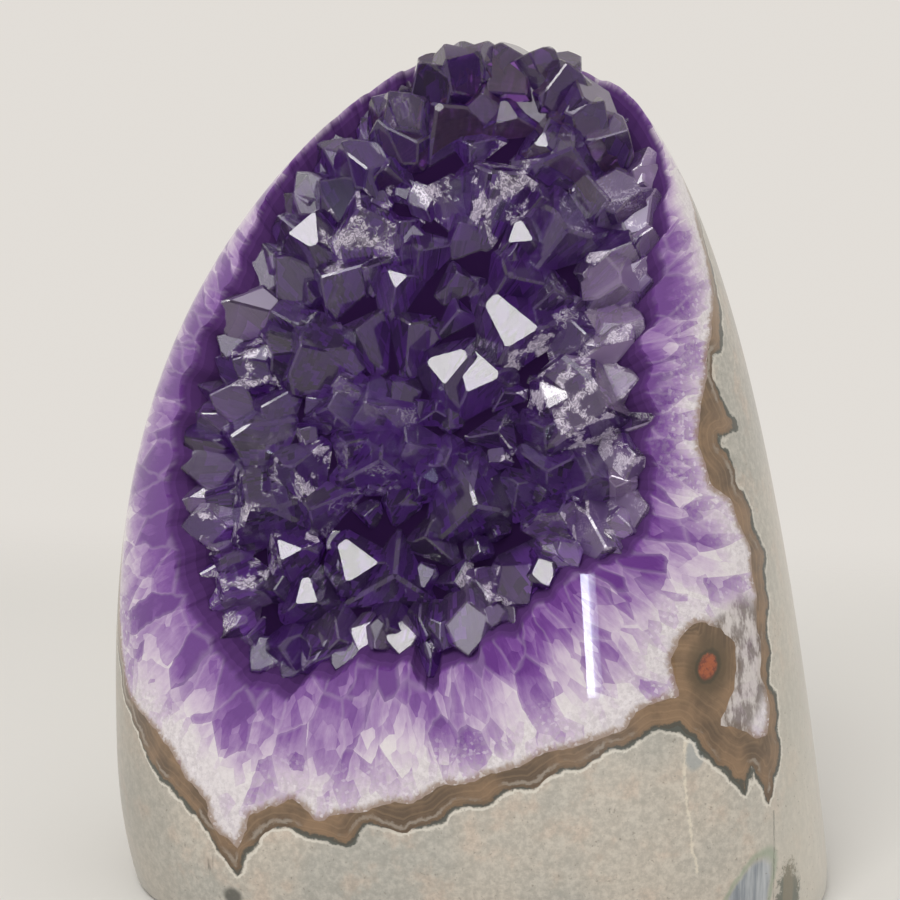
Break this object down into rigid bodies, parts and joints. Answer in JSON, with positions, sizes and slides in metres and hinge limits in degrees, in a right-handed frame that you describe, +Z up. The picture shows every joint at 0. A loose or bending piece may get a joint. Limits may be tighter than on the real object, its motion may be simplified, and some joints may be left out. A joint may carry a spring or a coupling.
{
  "type": "amethyst geode",
  "caption": "Polished free-standing amethyst geode on a flat cut base: basalt back, brown agate lining and a quartz crust of purple crystal points.",
  "frame": {"origin": "middle of the bounding box's bottom, on the flat cut base", "axes": "+Z up, +Y to the back of the stone and -Y to the crystal face, +X to the right seen from the front"},
  "size_m": [0.129, 0.0859, 0.15],
  "materials": {
    "basalt": "polished",
    "agate": "polished",
    "amethyst": "glossy"
  },
  "bodies": {
    "root": {"basalt_matrix": "basalt", "agate_lining": "agate", "amethyst_crust": "amethyst"}
  },
  "joints": []
}
